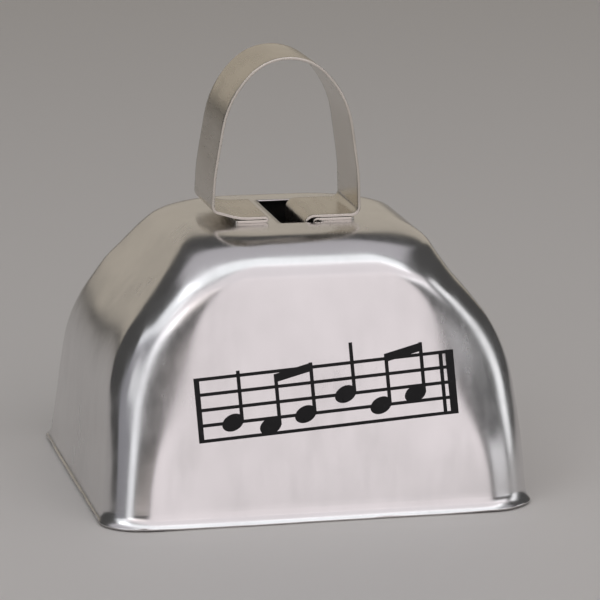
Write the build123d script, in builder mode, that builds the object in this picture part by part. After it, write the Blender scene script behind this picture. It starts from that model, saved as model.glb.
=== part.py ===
"""A three inch hand cowbell, in millimetres.

A deep-drawn sheet-steel bell with a rounded rectangular plan stands on its flared mouth. One bent steel strap
makes the arched handle on its crown: the left foot's end is folded under itself, and the right foot curls
down through a slot in the crown, makes the hanging eye for the clapper, and comes back up to end between the
right foot and the crown. The clapper is a wire bail with a pressed-on steel ball, and swings left and right.

+Z is up, +X is along the broad side and -Y is the printed front. The origin is the centre of the mouth, on the
plane that the rim stands on.
"""

from build123d import *
import math
import os

os.makedirs("parts", exist_ok=True)

# ---- driving dimensions -------------------------------------------------------------------------------------
MOUTH_WIDTH = 76.4  # over the lip, X
MOUTH_DEPTH = 64.2  # over the lip, Y
SHELL_HEIGHT = 46.5  # mouth to the flat of the crown
HANDLE_TOP = 75.3
SHEET = 0.5  # sheet thickness of the bell
STRAP = 0.5  # thickness of the handle's strap
STRAP_WIDTH = 14.3

LIP_CORNER = 7.8  # the lip is trimmed narrower at the corners
LIP_OUTER_FILLET = 0.45  # outside, between wall and lip
LIP_INNER_FILLET = 0.9  # inside, so that a flat ring is left to stand on

# Half profiles of the outside, from the mouth to the crown, as straight runs with arcs at their corners.
SIDE_PROFILE = [(37.0, 0.0), (34.75, 27.4), (20.0, SHELL_HEIGHT), (0.0, SHELL_HEIGHT)]
SIDE_RADII = [25.0, 7.4]
FRONT_PROFILE = [(31.2, 0.0), (22.4, SHELL_HEIGHT), (0.0, SHELL_HEIGHT)]
FRONT_RADII = [9.6]

# Radius of the plan's corners, by height.
CORNER_AT_MOUTH = 5.4
CORNER_AT_SHOULDER = 8.0
CORNER_AT_CROWN = 10.8
CORNER_SHOULDER_Z = 36.0

SLOT_LEFT_X = -2.8
SLOT_RIGHT_X = 4.5
SLOT_FRONT_Y = -7.9
SLOT_BACK_Y = 10.9
SLOT_CORNER = 0.4

HANDLE_X = -1.65  # the handle is set a little to the left of the middle
HANDLE_FLARE = 8.9  # degrees that the handle's sides lean outwards
HANDLE_FOOT_FLARE = 2.7  # the same, below the knee
HANDLE_KNEE_Z = 54.5
HANDLE_TOP_RADIUS = 9.4
HANDLE_SHOULDER_RADIUS = 16.9
HANDLE_KNEE_RADIUS = 30.0
LAYER_GAP = 0.1  # between the two layers of a foot
LEFT_RISE = 16.0  # degrees that the left foot rises off the crown
LEFT_RISE_X = -9.8
LEFT_RISE_BEND = 8.0
LEFT_BEND = 1.3
RIGHT_BEND = 1.4
CURL_BEND = 1.6
TUCK_BEND = 0.6
HEM_FREE_END_X = -10.6
HEM_FOLD_X = -5.0
TUCK_END_X = 10.4

WIRE_RADIUS = 0.65
EYE_RADIUS = 0.73  # inside the strap's hanging eye, a running fit on the wire
EYE_LEFT_X = 1.8  # middle of the strap where it goes down
EYE_LEAN = 5.0  # degrees that the strap leans back over the eye on its way up
PIVOT_Z = 41.0
BAIL_HALF_WIDTH = 8.25  # to the middle of the wire
BAIL_BEND = 1.1
BAIL_JOIN_Z = 20.5  # where the two legs of the bail meet
LEG_PITCH = 1.34  # between the middles of the two legs in the ball
SPLAY = 35.0  # degrees that the wire ends are spread below the ball
SPLAY_LENGTH = 1.6
BALL_RADIUS = 6.0
BALL_BORE_RADIUS = 1.36
BALL_Z = 10.5

EMBLEM_X = 1.0
EMBLEM_Z = 20.8  # height of its middle
EMBLEM_TILT = 3.7  # degrees
STAVE_LENGTH = 45.0
STAVE_PITCH = 2.6
STAVE_LINE = 0.55
NOTE_RADIUS = 1.62
STEM_HEIGHT = 8.6
STEM_WIDTH = 0.6
STEM_OFFSET = 1.6  # from the middle of a note's head to its stem
BEAM = 1.4
INK = 0.05
INK_GAP = 0.02

LOWER_LAYER_Z = SHELL_HEIGHT + STRAP / 2
UPPER_LAYER_Z = LOWER_LAYER_Z + STRAP + LAYER_GAP
EYE_BEND = EYE_RADIUS + STRAP / 2
EYE_X = EYE_LEFT_X + EYE_BEND


# ---- the bell's shape ---------------------------------------------------------------------------------------
def half_width(z, corners, radii, inset):
    """Half width at height z of a profile with filleted corners, moved inwards by inset along its normal."""
    angles = [math.atan2(a[0] - b[0], b[1] - a[1]) for a, b in zip(corners, corners[1:])]
    width = corners[0][0] - inset / math.cos(angles[0]) - z * math.tan(angles[0])
    for (x, height), radius, before, after in zip(corners[1:], radii, angles, angles[1:]):
        # The arc's centre is a radius inside both of the runs that meet at the corner.
        reach = radius / math.cos((after - before) / 2)
        centre_x = x - reach * math.cos((after + before) / 2)
        centre_z = height - reach * math.sin((after + before) / 2)
        inner = radius - inset
        if z > centre_z + inner * math.sin(before):
            width = centre_x + math.sqrt(max(inner**2 - (z - centre_z) ** 2, 0.0))
        arc_end = centre_z + inner * math.sin(after)
        if z > arc_end:
            width = centre_x + inner * math.cos(after) - (z - arc_end) * math.tan(after)
    return width


def bell_section(z, inset):
    """Width, depth and corner radius of the bell's plan at height z, inset from the outside surface."""
    if z < CORNER_SHOULDER_Z:
        corner = CORNER_AT_MOUTH + z / CORNER_SHOULDER_Z * (CORNER_AT_SHOULDER - CORNER_AT_MOUTH)
    else:
        share = (z - CORNER_SHOULDER_Z) / (SHELL_HEIGHT - CORNER_SHOULDER_Z)
        corner = CORNER_AT_SHOULDER + share * (CORNER_AT_CROWN - CORNER_AT_SHOULDER)
    half_x = half_width(z, SIDE_PROFILE, SIDE_RADII, inset)
    half_y = half_width(z, FRONT_PROFILE, FRONT_RADII, inset)
    return 2 * half_x, 2 * half_y, corner - inset


def bell_sections(inset, bottom):
    """Plans for the loft of the bell's outside, or of its inside when inset is the sheet's thickness."""
    top = SHELL_HEIGHT - inset
    turns = [11.7 + 8.7 * k for k in range(1, 9)]
    crown = [top - FRONT_RADII[0] * (1 - math.sin(math.radians(turn))) for turn in turns]
    heights = [bottom] + [4.0 * k for k in range(1, 10)] + [38.3] + crown + [top]
    sections = []
    for z in heights:
        with BuildSketch(Plane.XY.offset(z)) as plan:
            RectangleRounded(*bell_section(z, inset))
        sections.append(plan.sketch)
    return sections


with BuildPart() as bell_shell:
    loft(bell_sections(0.0, 0.0))
    with BuildSketch(Plane.XY):
        RectangleRounded(MOUTH_WIDTH, MOUTH_DEPTH, LIP_CORNER)
    extrude(amount=SHEET)
    lip_top = bell_shell.faces().filter_by(Axis.Z).sort_by(Axis.Z)[1]
    fillet(lip_top.inner_wires()[0].edges(), radius=LIP_OUTER_FILLET)
    loft(bell_sections(SHEET, -1.0), mode=Mode.SUBTRACT)
    stand_ring = bell_shell.faces().filter_by(Axis.Z).sort_by(Axis.Z)[0]
    fillet(stand_ring.inner_wires()[0].edges(), radius=LIP_INNER_FILLET)
    with BuildSketch(Plane.XY.offset(SHELL_HEIGHT)):
        with Locations(((SLOT_LEFT_X + SLOT_RIGHT_X) / 2, (SLOT_FRONT_Y + SLOT_BACK_Y) / 2)):
            RectangleRounded(SLOT_RIGHT_X - SLOT_LEFT_X, SLOT_BACK_Y - SLOT_FRONT_Y, SLOT_CORNER)
    extrude(amount=2, both=True, mode=Mode.SUBTRACT)
bell_shell.part.label = "bell_shell"
export_step(bell_shell.part, "parts/bell_shell.step")


# ---- strap and wire -----------------------------------------------------------------------------------------
def bent_line(corners, radii):
    """A line through corners with each inner corner rounded by its own radius, drawn in the open BuildLine."""
    points = [Vector(*corner) for corner in corners]
    start = points[0]
    for before, corner, after, radius in zip(points, points[1:], points[2:], radii):
        into = (corner - before).normalized()
        out = (after - corner).normalized()
        half_turn = math.radians(into.get_angle(out) / 2)
        reach = radius * math.tan(half_turn)
        arc_start, arc_end = corner - into * reach, corner + out * reach
        middle = corner + (out - into).normalized() * (radius / math.cos(half_turn) - radius)
        if (arc_start - start).length > 0.001:
            Line((start.X, start.Y), (arc_start.X, arc_start.Y))
        ThreePointArc((arc_start.X, arc_start.Y), (middle.X, middle.Y), (arc_end.X, arc_end.Y))
        start = arc_end
    Line((start.X, start.Y), (points[-1].X, points[-1].Y))


flare = math.radians(HANDLE_FLARE)
foot_flare = math.radians(HANDLE_FOOT_FLARE)
arch_top_z = HANDLE_TOP - STRAP / 2
peak_z = arch_top_z + HANDLE_TOP_RADIUS * (math.sqrt(2) - 1)
slant = HANDLE_TOP_RADIUS + HANDLE_SHOULDER_RADIUS * math.tan((math.pi / 4 - flare) / 2)
shoulder_x = slant * math.sqrt(0.5)
shoulder_z = peak_z - shoulder_x
knee_x = shoulder_x + (shoulder_z - HANDLE_KNEE_Z) * math.tan(flare)
foot_x = knee_x + (HANDLE_KNEE_Z - UPPER_LAYER_Z) * math.tan(foot_flare)

# The left side line meets the rising end of the left foot at this corner.
rise = math.tan(math.radians(LEFT_RISE))
side_at_crown_x = HANDLE_X - foot_x
left_rise_z = (LEFT_RISE_X - side_at_crown_x) * rise / (1 - rise * math.tan(foot_flare))
left_corner = (side_at_crown_x + left_rise_z * math.tan(foot_flare), UPPER_LAYER_Z + left_rise_z)

# On its way up from the eye the strap leans, still touching the eye's circle.
lean = math.radians(EYE_LEAN)
eye_bottom_z = PIVOT_Z - EYE_BEND
eye_right_x = EYE_X + EYE_BEND * (1 / math.cos(lean) + math.tan(lean))
tuck_x = eye_right_x - (LOWER_LAYER_Z - eye_bottom_z) * math.tan(lean)

strap_corners = [
    (HEM_FREE_END_X, LOWER_LAYER_Z),
    (HEM_FOLD_X, LOWER_LAYER_Z),
    (HEM_FOLD_X, UPPER_LAYER_Z),
    (LEFT_RISE_X, UPPER_LAYER_Z),
    left_corner,
    (HANDLE_X - knee_x, HANDLE_KNEE_Z),
    (HANDLE_X - shoulder_x, shoulder_z),
    (HANDLE_X, peak_z),
    (HANDLE_X + shoulder_x, shoulder_z),
    (HANDLE_X + knee_x, HANDLE_KNEE_Z),
    (HANDLE_X + foot_x, UPPER_LAYER_Z),
    (EYE_LEFT_X, UPPER_LAYER_Z),
    (EYE_LEFT_X, eye_bottom_z),
    (eye_right_x, eye_bottom_z),
    (tuck_x, LOWER_LAYER_Z),
    (TUCK_END_X, LOWER_LAYER_Z),
]
hem_bend = (STRAP + LAYER_GAP) / 2
strap_radii = [hem_bend, hem_bend, LEFT_RISE_BEND, LEFT_BEND, HANDLE_KNEE_RADIUS, HANDLE_SHOULDER_RADIUS]
strap_radii += [HANDLE_TOP_RADIUS, HANDLE_SHOULDER_RADIUS, HANDLE_KNEE_RADIUS, RIGHT_BEND]
strap_radii += [CURL_BEND, EYE_BEND, EYE_BEND, TUCK_BEND]

with BuildPart() as handle_strap:
    with BuildLine(Plane.XZ) as strap_line:
        bent_line(strap_corners, strap_radii)
    with BuildSketch(Plane(origin=strap_line.line @ 0, x_dir=(0, 1, 0), z_dir=strap_line.line % 0)):
        Rectangle(STRAP_WIDTH, STRAP)
    sweep(path=strap_line.line)
handle_strap.part.label = "handle_strap"
export_step(handle_strap.part, "parts/handle_strap.step")

# The wire runs from the free end of one leg, over the bail and down to the free end of the other.
splay = math.radians(SPLAY)
ball_bottom = BALL_Z - math.sqrt(BALL_RADIUS**2 - BALL_BORE_RADIUS**2)
splay_z = ball_bottom - 0.5
half_pitch = LEG_PITCH / 2
half_wire = [
    (half_pitch + SPLAY_LENGTH * math.sin(splay), splay_z - SPLAY_LENGTH * math.cos(splay)),
    (half_pitch, splay_z),
    (half_pitch, BAIL_JOIN_Z),
    (BAIL_HALF_WIDTH, PIVOT_Z - 1.5),
    (BAIL_HALF_WIDTH, PIVOT_Z),
]
wire_corners = [(-y, z) for y, z in half_wire] + half_wire[::-1]
half_radii = [1.0, 3.0, 2.0, BAIL_BEND]

with BuildPart() as clapper_wire:
    with BuildLine(Plane.YZ.offset(EYE_X)) as wire_line:
        bent_line(wire_corners, half_radii + half_radii[::-1])
    with BuildSketch(Plane(origin=wire_line.line @ 0, z_dir=wire_line.line % 0)):
        Circle(WIRE_RADIUS)
    sweep(path=wire_line.line)
clapper_wire.part.label = "clapper_wire"
export_step(clapper_wire.part, "parts/clapper_wire.step")

with BuildPart() as clapper_ball:
    with Locations((EYE_X, 0, BALL_Z)):
        Sphere(BALL_RADIUS)
        Cylinder(BALL_BORE_RADIUS, 3 * BALL_RADIUS, mode=Mode.SUBTRACT)
clapper_ball.part.label = "clapper_ball"
export_step(clapper_ball.part, "parts/clapper_ball.step")

# ---- the print on the front ---------------------------------------------------------------------------------
front_slope = math.atan((FRONT_PROFILE[0][0] - FRONT_PROFILE[1][0]) / SHELL_HEIGHT)
front_y = EMBLEM_Z * math.tan(front_slope) - FRONT_PROFILE[0][0]
out_of_front = Vector(0, -math.cos(front_slope), math.sin(front_slope))
up_front = Vector(0, math.sin(front_slope), math.cos(front_slope))
tilt = math.radians(EMBLEM_TILT)
along_stave = Vector(1, 0, 0) * math.cos(tilt) + up_front * math.sin(tilt)
stave_middle = Vector(EMBLEM_X, front_y, EMBLEM_Z) + out_of_front * INK_GAP
emblem_plane = Plane(origin=stave_middle, x_dir=along_stave, z_dir=out_of_front)

# Five stave lines between bar lines. Each note is the place of its head, counted in stave spaces.
stave_half_height = 2 * STAVE_PITCH + STAVE_LINE / 2
single_notes = [(-16.6, -1), (3.2, 0)]
note_pairs = [((-10.2, -1.5), (-4.0, -1)), ((9.2, -1), (15.4, -0.5))]
heads = single_notes + [note for pair in note_pairs for note in pair]

with BuildPart() as printed_emblem:
    with BuildSketch(emblem_plane):
        with GridLocations(0, STAVE_PITCH, 1, 5):
            Rectangle(STAVE_LENGTH, STAVE_LINE)
        for bar_x, bar_width in ((-22.2, 0.9), (20.4, 0.6), (22.0, 1.3)):
            with Locations((bar_x, 0)):
                Rectangle(bar_width, 2 * stave_half_height)
        for head_x, step in heads:
            head_y = step * STAVE_PITCH
            with Locations((head_x, head_y)):
                Ellipse(NOTE_RADIUS * 1.2, NOTE_RADIUS * 0.85, rotation=22)
            with Locations((head_x + STEM_OFFSET, head_y + STEM_HEIGHT / 2)):
                Rectangle(STEM_WIDTH, STEM_HEIGHT)
        for (left_x, left_step), (right_x, right_step) in note_pairs:
            left = (left_x + STEM_OFFSET - STEM_WIDTH / 2, left_step * STAVE_PITCH + STEM_HEIGHT)
            right = (right_x + STEM_OFFSET + STEM_WIDTH / 2, right_step * STAVE_PITCH + STEM_HEIGHT)
            Polygon(left, right, (right[0], right[1] - BEAM), (left[0], left[1] - BEAM), align=None)
    extrude(amount=INK)
printed_emblem.part.label = "printed_emblem"
export_step(printed_emblem.part, "parts/printed_emblem.step")
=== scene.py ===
"""Looks for the small hand cowbell: its sheet-metal shell, strap handle, clapper and print.

The shapes are worked out in millimetres, in the CAD's frame, and scaled to metres as each mesh is made.
"""

import math

import bmesh
import bpy
import numpy as np
from mathutils import Matrix, Vector


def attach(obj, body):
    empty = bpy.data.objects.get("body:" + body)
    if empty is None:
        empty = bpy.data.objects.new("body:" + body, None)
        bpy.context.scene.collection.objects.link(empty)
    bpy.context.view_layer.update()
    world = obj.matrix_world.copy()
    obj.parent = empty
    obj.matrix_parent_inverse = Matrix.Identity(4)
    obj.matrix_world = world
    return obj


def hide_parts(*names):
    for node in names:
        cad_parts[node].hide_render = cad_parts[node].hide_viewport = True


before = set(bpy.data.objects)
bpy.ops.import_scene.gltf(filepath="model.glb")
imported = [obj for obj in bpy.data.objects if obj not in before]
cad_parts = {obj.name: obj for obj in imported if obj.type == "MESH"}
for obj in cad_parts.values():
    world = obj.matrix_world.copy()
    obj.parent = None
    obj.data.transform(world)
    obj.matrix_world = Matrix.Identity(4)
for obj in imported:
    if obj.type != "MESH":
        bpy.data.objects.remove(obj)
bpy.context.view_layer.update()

MM = 0.001

# ---- the bell's shape in millimetres: the CAD's profiles, with oval corners and a turned lip ------------
HEIGHT = 46.5
SHEET = 0.5
RIM = (37.7, 32.05, 8.2, 6.2)  # half width, half depth and corner radii at the edge of the lip
SIDE = ([(37.0, 0.0), (34.75, 27.4), (20.0, HEIGHT), (0.0, HEIGHT)], [25.0, 7.4])
FRONT = ([(31.2, 0.0), (22.4, HEIGHT), (0.0, HEIGHT)], [9.6])
SLOT = (-2.8, 4.5, -7.9, 10.9)  # left, right, front and back
FLARE_HEIGHT, FLARE_ANGLE = 2.6, math.radians(50)  # where the wall turns out into the lip, and how far
LIP_Z = 0.8 * SHEET  # the outside of the lip ends above the floor, because the sheet leans out there
EDGE_BULGE = 0.10  # how far the lip's cut edge is rounded outwards
FRONT_SLOPE = math.atan((31.2 - 22.4) / HEIGHT)


def half_width(z, corners, radii):
    """Half width at height z of a profile with filleted corners."""
    angles = [math.atan2(a[0] - b[0], b[1] - a[1]) for a, b in zip(corners, corners[1:])]
    width = corners[0][0] - z * math.tan(angles[0])
    for (x, height), radius, before, after in zip(corners[1:], radii, angles, angles[1:]):
        reach = radius / math.cos((after - before) / 2)
        cx = x - reach * math.cos((after + before) / 2)
        cz = height - reach * math.sin((after + before) / 2)
        if z > cz + radius * math.sin(before):
            width = cx + math.sqrt(max(radius**2 - (z - cz) ** 2, 0.0))
        end = cz + radius * math.sin(after)
        if z > end:
            width = cx + radius * math.cos(after) - (z - end) * math.tan(after)
    return width


def bump(x, centre, width):
    """A smooth hump, 1 at its centre."""
    return np.exp(-(((x - centre) / width) ** 2))


def step(x, edge, width):
    """A smooth rise from 0 to 1 at the edge."""
    return 1 / (1 + np.exp(-(x - edge) / width))


def corner_radii(z):
    """Half axes of the plan's oval corners, which at mid height reach far across the broad faces."""
    return 8.4 + 6.5 * bump(z, 24, 10) + 4.0 * step(z, 39.5, 1.4), 6.0 + 4.2 * (z / HEIGHT) ** 2


# How many points a ring has on each broad face, narrow side and corner, and how often it is smoothed.
NX, NY, NC = 56, 50, 34
SMOOTHING = 4


def plan(hx, hy, rx, ry, cx=0.0, cy=0.0):
    """Points round an oval-cornered rectangle, counterclockwise, with the same count for every size."""
    sx, sy = hx - rx, hy - ry
    arc = np.linspace(0, math.pi / 2, NC, endpoint=False)
    side = [(hx, sy * t) for t in np.linspace(-1, 1, NY, endpoint=False)]
    corner = [(sx + rx * math.cos(a), sy + ry * math.sin(a)) for a in arc]
    back = [(-sx * t, hy) for t in np.linspace(-1, 1, NX, endpoint=False)]
    far_corner = [(-sx - rx * math.sin(a), sy + ry * math.cos(a)) for a in arc]
    half = np.array(side + corner + back + far_corner)
    return np.vstack([half, -half]) + (cx, cy)


def wall_ring(z):
    """The outside's outline at height z, smoothed where its corners meet the flats."""
    return smooth_ring(plan(half_width(z, *SIDE), half_width(z, *FRONT), *corner_radii(z)))


def smooth_ring(p):
    """Ring p with every point drawn towards its neighbours."""
    for _ in range(SMOOTHING):
        p = 0.5 * p + 0.25 * (np.roll(p, 1, 0) + np.roll(p, -1, 0))
    return p


def outer_grid():
    """Rings of the outside from the slot's edge over the crown and down the wall to the edge of the lip."""
    left, right, front, back = SLOT
    top = plan(half_width(HEIGHT, *SIDE), half_width(HEIGHT, *FRONT), *corner_radii(HEIGHT))
    slot = plan((right - left) / 2, (back - front) / 2, 0.5, 0.5, (left + right) / 2, (front + back) / 2)
    rings = [(slot * (1 - t) + top * t, HEIGHT) for t in np.linspace(0, 1, 14, endpoint=False)]
    bend = FRONT[1][0]
    crown = [HEIGHT - bend * (1 - math.sin(math.radians(a))) for a in np.linspace(90, 6, 40)]
    wall = list(np.arange(crown[-1] - 0.8, FLARE_HEIGHT + 0.5, -0.8))
    rings += [(wall_ring(z), z) for z in crown + wall]
    # The lip: the wall turns outwards, from its own outline to the rim's.
    flare = smooth_ring(plan(*RIM)) - wall_ring(0)
    for a in np.linspace(0, FLARE_ANGLE, 10):
        z = LIP_Z + (FLARE_HEIGHT - LIP_Z) * (1 - math.sin(a) / math.sin(FLARE_ANGLE))
        out = (1 - math.cos(a)) / (1 - math.cos(FLARE_ANGLE))
        rings.append((wall_ring(z) + flare * out, z))
    return np.array([np.column_stack([ring, np.full(len(ring), z)]) for ring, z in rings])


def grid_normals(grid):
    """Outward normals of a grid of rings that run down the shell."""
    down = np.gradient(grid, axis=0)
    along = (np.roll(grid, -1, 1) - np.roll(grid, 1, 1)) / 2
    n = np.cross(down, along)
    return n / np.maximum(np.linalg.norm(n, axis=2, keepdims=True), 1e-12)


# A faint fold left by the drawing tool runs down the front left corner.
CREASE = [(-25.8, -16.5, 38.8), (-29, -20.5, 33), (-31.5, -22.8, 27.5),
          (-33.8, -24.6, 19.5), (-35.2, -27.2, 9)]


def from_crease(p):
    """Distance of points p from the crease, signed by side."""
    best = np.full(p.shape[:-1], 1e9)
    for a, b in zip(CREASE, CREASE[1:]):
        a, b = np.array(a), np.array(b)
        t = np.clip(((p - a) @ (b - a)) / ((b - a) @ (b - a)), 0, 1)
        gap = p - (a + t[..., None] * (b - a))
        dist = np.linalg.norm(gap, axis=-1) * np.sign(gap[..., 0] - gap[..., 1] * 1.2 + 1e-9)
        best = np.where(np.abs(dist) < np.abs(best), dist, best)
    return best


def side_folds(x, y, z):
    """Puckers where the sheet was drawn over the narrow sides. The left side's slant down to the back."""
    low = step(z, 3.0, 0.8)
    inside = step(y, -20, 1.5) * step(-y, -20, 1.5)
    left, right = step(-x, 28, 1.2) * inside, step(x, 28, 1.2) * inside
    fold = z + 0.72 * y + 1.6 * np.sin(0.21 * y + 0.9) + 0.8 * np.sin(0.47 * z)
    depth = 0.034 + 0.026 * np.sin(0.33 * y + 0.12 * z)
    left_waves = depth * np.sin(1.05 * fold + 0.5) + 0.008 * np.sin(2.7 * fold - 0.3 * y)
    left_hollow = 0.22 * bump(y, 8, 9) * bump(z, 27, 7) - 0.16 * bump(y, -9, 6) * bump(z, 24, 9)
    right_waves = 0.03 * np.sin(0.46 * y - 0.25 * z + 1.0) + 0.006 * np.sin(1.3 * y + 0.5 * z)
    left_side = low * bump(z, 14, 10) * left_waves + left_hollow
    right_side = low * bump(z, 15, 11) * right_waves
    return left * left_side + right * right_side


def end_shapes(x, y, z):
    """The two ends aren't quite alike: the left is fuller at its shoulder, and the right lower down."""
    d = step(x, 22, 1.0) * (0.25 * bump(z, 13, 9) - 0.25 * bump(z, 39.3, 2.6))
    d += step(x, 19, 0.8) * 0.25 * bump(z, 44.0, 1.4)
    d += step(-x, 22, 1.5) * (0.32 * bump(z, 35.3, 2.2) * step(y, 4, 3) - 0.2 * bump(z, 9, 6))
    return d + step(np.abs(x), 26, 2.0) * 0.38 * bump(z, 8, 14)


def dents(p):
    """How far the sheet stands out of its true shape, in millimetres, at points p."""
    x, y, z = p[..., 0], p[..., 1], p[..., 2]
    d = side_folds(x, y, z) + end_shapes(x, y, z)
    # The broad faces are very slightly crowned.
    d += 0.16 * bump(x, 0, 19) * bump(z, 21, 14) * step(z, 3.0, 0.8)
    # The fold: a small ridge with a shallow trough on its inner side.
    c = from_crease(p)
    here = step(-x, 24, 1.0) * step(-y, 12, 1.0) * bump(z, 25, 10)
    return d + here * (0.05 * bump(c, 0, 0.5) - 0.05 * bump(c, 1.5, 1.0))


def mesh_object(name, verts, faces, material):
    """A smooth-shaded object of a mesh, with its doubled points joined and its faces turned outwards."""
    mesh = bpy.data.meshes.new(name)
    mesh.from_pydata([tuple(v) for v in verts], [], faces)
    mesh.validate()
    bm = bmesh.new()
    bm.from_mesh(mesh)
    bmesh.ops.remove_doubles(bm, verts=bm.verts, dist=1e-8)
    bmesh.ops.recalc_face_normals(bm, faces=bm.faces)
    bm.to_mesh(mesh)
    bm.free()
    mesh.polygons.foreach_set("use_smooth", [True] * len(mesh.polygons))
    mesh.materials.append(material)
    obj = bpy.data.objects.new(name, mesh)
    bpy.context.scene.collection.objects.link(obj)
    return obj


def build_shell(material):
    """The sheet: its outside, the rounded edge of the lip, and its inside, as one closed skin."""
    outer = outer_grid()
    top = outer[:, :, 2] > HEIGHT - 1e-6
    n = grid_normals(outer)
    n[top] = (0, 0, 1)
    outer = outer + n * dents(outer)[..., None]
    n = grid_normals(outer)
    n[0], n[1] = (0, 0, 1), (0, 0, 1)
    inner = outer - n * SHEET
    # The lip's cut edge is a little uneven, and rounded over its thickness.
    along = np.linspace(0, 2 * math.pi, outer.shape[1], endpoint=False)
    wave = 0.04 * np.sin(9 * along + 1.0) + 0.02 * np.sin(23 * along) + 0.01 * np.sin(57 * along + 2.0)
    forward = outer[-1] - outer[-2]
    forward /= np.linalg.norm(forward, axis=1, keepdims=True)
    edge = []
    for a in np.radians((75, 50, 20, -20, -50, -75)):
        c, h = abs(math.cos(a)) ** 0.5, math.copysign(abs(math.sin(a)) ** 0.5, math.sin(a))
        middle = (outer[-1] + inner[-1]) / 2 + n[-1] * (SHEET / 2 * h)
        edge.append(middle + forward * (EDGE_BULGE * c + wave[:, None]))
    grid = np.array(list(outer) + edge + list(inner[::-1]))
    grid[..., 2] = np.maximum(grid[..., 2], 0.0)
    faces = ring_faces(*grid.shape[:2], closed=True)
    return mesh_object("shell_sheet", grid.reshape(-1, 3) * MM, faces, material)


def ring_faces(rows, cols, closed=False):
    """Faces of a grid whose rows are rings; closed joins its last row to its first."""
    faces = []
    for r in range(rows if closed else rows - 1):
        here, there = r * cols, (r + 1) % rows * cols
        for c in range(cols):
            after = (c + 1) % cols
            faces.append((here + c, here + after, there + after, there + c))
    return faces


# ---- the strap, as in the CAD --------------------------------------------------------------------------
STRAP, STRAP_WIDTH, GAP = 0.5, 14.3, 0.1
BURR = 0.09
HANDLE_X, HANDLE_TOP, KNEE_Z = -1.65, 75.3, 54.5
TOP_RADIUS, SHOULDER_RADIUS, KNEE_RADIUS = 9.4, 16.9, 30.0
EYE_X, EYE_BEND, PIVOT_Z = 2.78, 0.98, 41.0


def strap_corners():
    """Corners of the strap's middle line, from the left foot to the right: x, z and the bend's radius."""
    flare, foot_flare, rise, lean = (math.radians(v) for v in (8.9, 2.7, 16.0, 5.0))
    low = HEIGHT + STRAP / 2
    high = low + STRAP + GAP
    hem = (STRAP + GAP) / 2
    peak = HANDLE_TOP - STRAP / 2 + TOP_RADIUS * (math.sqrt(2) - 1)
    shoulder = (TOP_RADIUS + SHOULDER_RADIUS * math.tan((math.pi / 4 - flare) / 2)) * math.sqrt(0.5)
    knee = shoulder + (peak - shoulder - KNEE_Z) * math.tan(flare)
    foot = knee + (KNEE_Z - high) * math.tan(foot_flare)
    rise_x = -9.8
    lift = (rise_x - HANDLE_X + foot) * math.tan(rise) / (1 - math.tan(rise) * math.tan(foot_flare))
    eye_z = PIVOT_Z - EYE_BEND
    eye_right = EYE_X + EYE_BEND * (1 / math.cos(lean) + math.tan(lean))
    return [
        (-10.6, low, 0), (-5.0, low, hem), (-5.0, high, hem), (rise_x, high, 8.0),
        (HANDLE_X - foot + lift * math.tan(foot_flare), high + lift, 1.3),
        (HANDLE_X - knee, KNEE_Z, KNEE_RADIUS), (HANDLE_X - shoulder, peak - shoulder, SHOULDER_RADIUS),
        (HANDLE_X, peak, TOP_RADIUS),
        (HANDLE_X + shoulder, peak - shoulder, SHOULDER_RADIUS), (HANDLE_X + knee, KNEE_Z, KNEE_RADIUS),
        (HANDLE_X + foot, high, 1.4), (EYE_X - EYE_BEND, high, 1.6), (EYE_X - EYE_BEND, eye_z, EYE_BEND),
        (eye_right, eye_z, EYE_BEND), (eye_right - (low - eye_z) * math.tan(lean), low, 0.6),
        (10.4, low, 0)]


def bent_path(corners, spacing=0.5, turn_step=6.0):
    """Points along a line with rounded corners, closer together in the bends than on the straights."""
    pts = [np.array(c[:2]) for c in corners]
    path = [pts[0]]

    def straight(to):
        count = max(1, int(np.linalg.norm(to - path[-1]) / spacing))
        start = path[-1]
        path.extend(start + (to - start) * (k + 1) / count for k in range(count))

    for (a, b, c), radius in zip(zip(pts, pts[1:], pts[2:]), [c[2] for c in corners[1:-1]]):
        u, w = (b - a) / np.linalg.norm(b - a), (c - b) / np.linalg.norm(c - b)
        turn = math.atan2(u[0] * w[1] - u[1] * w[0], u @ w)
        reach = radius * math.tan(abs(turn) / 2)
        if np.linalg.norm(b - u * reach - path[-1]) > 0.02:
            straight(b - u * reach)
        side = np.array([-u[1], u[0]]) * math.copysign(1, turn)
        centre = b - u * reach + side * radius
        count = max(2, int(math.degrees(abs(turn)) / turn_step))
        for k in range(1, count + 1):
            t = turn * k / count
            v = -side * radius
            path.append(centre + np.array([v[0] * math.cos(t) - v[1] * math.sin(t),
                                           v[0] * math.sin(t) + v[1] * math.cos(t)]))
    straight(pts[-1])
    return np.array(path)


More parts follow.
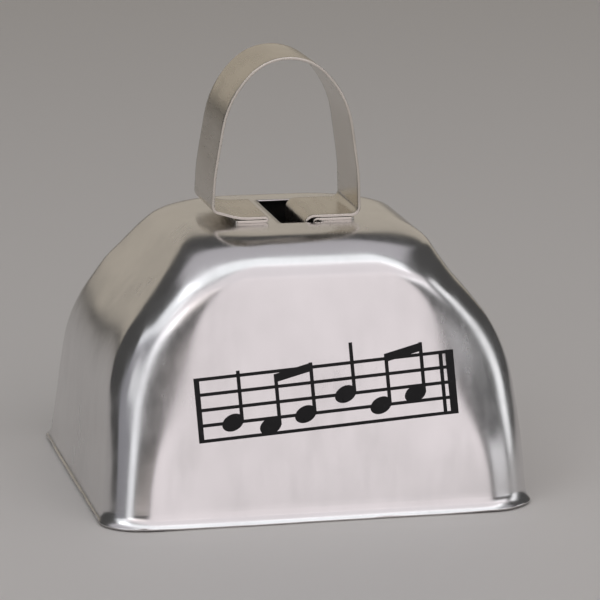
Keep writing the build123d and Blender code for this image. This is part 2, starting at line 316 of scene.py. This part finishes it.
def build_strap(material):
    """The strap: its sheared section, swept along its bent middle line."""
    path = bent_path(strap_corners())
    tangent = np.gradient(path, axis=0)
    tangent /= np.linalg.norm(tangent, axis=1, keepdims=True)
    normal = np.column_stack([-tangent[:, 1], tangent[:, 0]])
    # Sheared edges: nearly square, with a small burr radius.
    half, thick, r = STRAP_WIDTH / 2, STRAP / 2, BURR
    flat = np.linspace(-half + r, half - r, 15)
    arc = np.radians((0, 30, 60, 90))
    section = [(y, thick) for y in flat]
    section += [(half - r + r * math.sin(a), thick - r + r * math.cos(a)) for a in arc[1:]]
    section += [(half - r + r * math.cos(a), -thick + r - r * math.sin(a)) for a in arc]
    section += [(y, -thick) for y in flat[::-1][1:]]
    section += [(-half + r - r * math.sin(a), -thick + r - r * math.cos(a)) for a in arc[1:]]
    section += [(-half + r - r * math.cos(a), thick - r + r * math.sin(a)) for a in arc[:-1]]
    length = np.concatenate([[0], np.cumsum(np.linalg.norm(np.diff(path, axis=0), axis=1))])
    sections = []
    for (px, pz), (nx, nz), at in zip(path, normal, length):
        waver = 0.03 * math.sin(at * 0.55 + 1.0) + 0.02 * math.sin(at * 1.3)
        sections.append([
            (px + nx * t, y + waver * (1 if y > 0 else 0.6), pz + nz * t) for y, t in section])
    grid = np.array(sections)
    rows, cols = grid.shape[:2]
    faces = ring_faces(rows, cols)
    faces += [tuple(range(cols))[::-1], tuple((rows - 1) * cols + c for c in range(cols))]
    return mesh_object("strap_handle", grid.reshape(-1, 3) * MM, faces, material)


# Cuts through the print, so that it can follow the crowned front: axis, start and end, and their spacing.
PRINT_CUTS = ((0, -24, 26), (2, 10, 32))
PRINT_CUT_SPACING = 1.5
PRINT_LIFT = 0.02


def build_emblem(source, material):
    """The print, cut finely and laid on the crowned front."""
    bm = bmesh.new()
    bm.from_mesh(source.data)
    bmesh.ops.remove_doubles(bm, verts=bm.verts, dist=1e-7)
    for axis, start, end in PRINT_CUTS:
        for k in np.arange(start, end, PRINT_CUT_SPACING):
            co, no = Vector((0, 0, 0)), Vector((0, 0, 0))
            co[axis], no[axis] = k * MM, 1
            whole = bm.verts[:] + bm.edges[:] + bm.faces[:]
            bmesh.ops.bisect_plane(bm, geom=whole, plane_co=co, plane_no=no)
    out = Vector((0, -math.cos(FRONT_SLOPE), math.sin(FRONT_SLOPE)))
    co = np.array([v.co[:] for v in bm.verts]) / MM
    lift = dents(co)
    for v, d in zip(bm.verts, lift):
        v.co += out * (float(d) + PRINT_LIFT) * MM
    mesh = bpy.data.meshes.new("front_print")
    bm.to_mesh(mesh)
    bm.free()
    mesh.materials.clear()
    mesh.materials.append(material)
    obj = bpy.data.objects.new("front_print", mesh)
    bpy.context.scene.collection.objects.link(obj)
    return obj


# ---- materials -----------------------------------------------------------------------------------------
def new_material(name):
    """An empty material with a Principled shader, and its nodes and links."""
    mat = bpy.data.materials.new(name)
    mat.use_nodes = True
    nodes, links = mat.node_tree.nodes, mat.node_tree.links
    nodes.clear()
    out = nodes.new("ShaderNodeOutputMaterial")
    bsdf = nodes.new("ShaderNodeBsdfPrincipled")
    links.new(bsdf.outputs[0], out.inputs[0])
    return mat, nodes, links, bsdf


def node(nodes, kind, **values):
    """A new node with the named inputs or settings."""
    n = nodes.new(kind)
    for key, value in values.items():
        if key in n.inputs:
            n.inputs[key].default_value = value
        else:
            setattr(n, key, value)
    return n


def noise(nodes, links, vector, scale, detail=4.0, rough=0.55, stretch=(1, 1, 1)):
    """A noise texture over the object, stretched along its axes."""
    mapping = node(nodes, "ShaderNodeMapping", Scale=stretch)
    links.new(vector, mapping.inputs["Vector"])
    texture = node(nodes, "ShaderNodeTexNoise", Scale=scale, Detail=detail, Roughness=rough)
    links.new(mapping.outputs[0], texture.inputs["Vector"])
    return texture.outputs[0]


def spread(nodes, links, value, low, high, start=0.3, end=0.7):
    """Map noise from start..end to low..high."""
    ranged = node(nodes, "ShaderNodeMapRange",
                  **{"From Min": start, "From Max": end, "To Min": low, "To Max": high})
    links.new(value, ranged.inputs["Value"])
    return ranged.outputs[0]


def metal(name, colour, dull, rough, grain=(1, 1, 1), grain_depth=0.008, ripple=0.05):
    """Plated or bare metal: smudged gloss, slightly uneven colour, a drawn grain and a faint ripple."""
    mat, nodes, links, bsdf = new_material(name)
    vector = nodes.new("ShaderNodeTexCoord").outputs["Object"]
    bsdf.inputs["Metallic"].default_value = 1.0
    # Gloss: broad smudges crossed by fine rubbed streaks.
    smudge = spread(nodes, links, noise(nodes, links, vector, 70, 6), rough * 0.8, rough * 1.3)
    streak = spread(nodes, links, noise(nodes, links, vector, 500, 3, 0.6, grain), 0.88, 1.15)
    gloss = node(nodes, "ShaderNodeMath", operation="MULTIPLY")
    links.new(smudge, gloss.inputs[0])
    links.new(streak, gloss.inputs[1])
    links.new(gloss.outputs[0], bsdf.inputs["Roughness"])
    # Colour: clean metal with duller clouds.
    cloud = nodes.new("ShaderNodeValToRGB")
    cloud.color_ramp.elements[0].position = 0.35
    cloud.color_ramp.elements[1].position = 0.65
    cloud.color_ramp.elements[0].color = (*dull, 1)
    cloud.color_ramp.elements[1].color = (*colour, 1)
    links.new(noise(nodes, links, vector, 26, 4), cloud.inputs[0])
    links.new(cloud.outputs[0], bsdf.inputs["Base Color"])
    # Relief: ripple from drawing the sheet, then the grain.
    waves = node(nodes, "ShaderNodeBump", Strength=0.3, Distance=ripple * MM)
    links.new(noise(nodes, links, vector, 130, 2, 0.4, (1, 1, 0.5)), waves.inputs["Height"])
    lines = node(nodes, "ShaderNodeBump", Strength=0.3, Distance=grain_depth * MM)
    links.new(noise(nodes, links, vector, 1400, 3, 0.6, grain), lines.inputs["Height"])
    links.new(waves.outputs[0], lines.inputs["Normal"])
    links.new(lines.outputs[0], bsdf.inputs["Normal"])
    return mat


def print_ink():
    """Screen-printed ink: near black, with a dusty gloss and a few thin spots."""
    mat, nodes, links, bsdf = new_material("black_ink")
    vector = nodes.new("ShaderNodeTexCoord").outputs["Object"]
    tint = nodes.new("ShaderNodeValToRGB")
    tint.color_ramp.elements[0].position = 0.62
    tint.color_ramp.elements[1].position = 0.80
    tint.color_ramp.elements[0].color = (0.004, 0.004, 0.005, 1)
    tint.color_ramp.elements[1].color = (0.03, 0.03, 0.032, 1)
    links.new(noise(nodes, links, vector, 700, 5), tint.inputs[0])
    links.new(tint.outputs[0], bsdf.inputs["Base Color"])
    dust = spread(nodes, links, noise(nodes, links, vector, 220, 4), 0.38, 0.6)
    links.new(dust, bsdf.inputs["Roughness"])
    bsdf.inputs["Specular IOR Level"].default_value = 0.3
    relief = node(nodes, "ShaderNodeBump", Strength=0.3, Distance=0.01 * MM)
    links.new(noise(nodes, links, vector, 900, 2), relief.inputs["Height"])
    links.new(relief.outputs[0], bsdf.inputs["Normal"])
    return mat


shell_metal = metal("polished_shell", (0.83, 0.82, 0.82), (0.76, 0.75, 0.75), 0.20, (1, 1, 0.12),
                    ripple=0.035)
strap_metal = metal("polished_strap", (0.76, 0.72, 0.66), (0.66, 0.62, 0.56), 0.24, (1, 0.15, 1),
                    grain_depth=0.004, ripple=0.025)
wire_metal = metal("wire_steel", (0.62, 0.62, 0.62), (0.48, 0.48, 0.49), 0.30, (1, 1, 0.1), ripple=0.02)
ball_metal = metal("ball_steel", (0.68, 0.68, 0.69), (0.55, 0.55, 0.56), 0.22, ripple=0.03)
ink = print_ink()

shell = build_shell(shell_metal)
strap = build_strap(strap_metal)
print_piece = build_emblem(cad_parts["printed_emblem"], ink)
for piece, node_name, slot in ((shell, "bell_shell", "shell_metal"),
                               (strap, "handle_strap", "strap_metal"),
                               (print_piece, "printed_emblem", "black_print")):
    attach(piece, "root")
    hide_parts(node_name)

for name, mat in (("clapper_wire", wire_metal), ("clapper_ball", ball_metal)):
    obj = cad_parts[name]
    obj.data.materials.clear()
    obj.data.materials.append(mat)

# ---- stage ---------------------------------------------------------------------------------------------
floor_mat, _, _, floor_shader = new_material("floor")
floor_shader.inputs["Base Color"].default_value = (0.72, 0.70, 0.67, 1)
floor_shader.inputs["Roughness"].default_value = 0.6
bpy.ops.mesh.primitive_plane_add(size=6, location=(0, 0, 0))
floor = bpy.context.object
floor.name = "floor"
floor.data.materials.append(floor_mat)

world = bpy.data.worlds.new("studio")
world.use_nodes = True
bpy.context.scene.world = world
world.node_tree.nodes["Background"].inputs[0].default_value = (0.065, 0.064, 0.063, 1)
world.node_tree.nodes["Background"].inputs[1].default_value = 1.0


def softbox(name, azimuth, elevation, distance, size, radiance, colour=(1, 1, 1)):
    """A rectangular soft light that faces the bell. Azimuth 0 is in front of it, and 90 on its right."""
    az, el = math.radians(azimuth), math.radians(elevation)
    out = Vector((math.sin(az) * math.cos(el), -math.cos(az) * math.cos(el), math.sin(el)))
    data = bpy.data.lights.new(name, "AREA")
    data.shape = "RECTANGLE"
    data.size, data.size_y = size
    data.energy = radiance * math.pi * size[0] * size[1]
    data.color = colour
    obj = bpy.data.objects.new(name, data)
    obj.location = Vector((0, 0, 0.03)) + out * distance
    obj.rotation_mode = "QUATERNION"
    obj.rotation_quaternion = (-out).to_track_quat("-Z", "Y")
    bpy.context.scene.collection.objects.link(obj)


# A broad card in front and above, edged by an arch of brighter light that runs up the left, over the top
# and down the right. The gaps between card and arch make the dark bands in the bell's corners, which the
# fills and low lights end above and below. The light behind is warm.
softbox("front_box", 10.5, 13, 1.0, (0.55, 0.72), 0.86, (1.0, 0.925, 0.95))
softbox("upper_box", 5, 46, 1.05, (2.0, 0.50), 0.80, (1.0, 0.935, 0.97))
softbox("top_strip", -8, 69.5, 1.0, (1.6, 0.32), 1.15, (0.94, 0.97, 1.0))
softbox("overhead_box", 180, 83, 1.0, (1.6, 0.7), 0.44, (0.97, 0.94, 1.0))
softbox("shoulder_box", -66, 44, 1.0, (0.42, 0.46), 1.0, (0.94, 0.965, 1.0))
softbox("left_box", -42, 17, 1.0, (0.22, 0.60), 1.08, (0.95, 0.965, 1.0))
softbox("left_dim_box", -64, 17, 1.0, (0.46, 0.60), 0.22, (0.90, 0.90, 1.0))
softbox("left_fill", -24, 32, 1.0, (0.46, 0.20), 0.50, (1.0, 0.90, 0.84))
softbox("left_low", -20, 3.5, 1.0, (0.46, 0.16), 0.50, (1.0, 0.90, 0.86))
softbox("right_box", 76, 17, 1.0, (0.24, 0.60), 1.1, (0.97, 0.98, 1.0))
softbox("right_fill", 44, 29, 1.0, (0.50, 0.20), 0.50, (0.96, 0.97, 1.0))
softbox("right_low", 48, 3.5, 1.0, (0.50, 0.16), 0.8, (0.98, 0.97, 1.0))
softbox("back_box", 172, 18, 1.3, (1.8, 0.75), 0.38, (1.0, 0.89, 0.73))

# ---- camera --------------------------------------------------------------------------------------------
# It stands in front of the bell, a little to its left and above.
azimuth, elevation, roll = (math.radians(v) for v in (14.11, 14.09, 1.05))
right = Vector((math.cos(azimuth), -math.sin(azimuth), 0))
level = Vector((math.sin(azimuth), math.cos(azimuth), 0))
ahead = level * math.cos(elevation) + Vector((0, 0, -math.sin(elevation)))
down = ahead.cross(right)
cam_x = right * math.cos(roll) - down * math.sin(roll)
cam_down = right * math.sin(roll) + down * math.cos(roll)
cam_data = bpy.data.cameras.new("camera")
cam_data.sensor_width = 36
cam_data.lens = 202.476
camera = bpy.data.objects.new("camera", cam_data)
bpy.context.scene.collection.objects.link(camera)
turn = Matrix((cam_x, -cam_down, -ahead)).transposed().to_4x4()
camera.matrix_world = Matrix.Translation((-0.13743, -0.55799, 0.17509)) @ turn
bpy.context.scene.camera = camera
bpy.context.scene.view_settings.view_transform = "Standard"
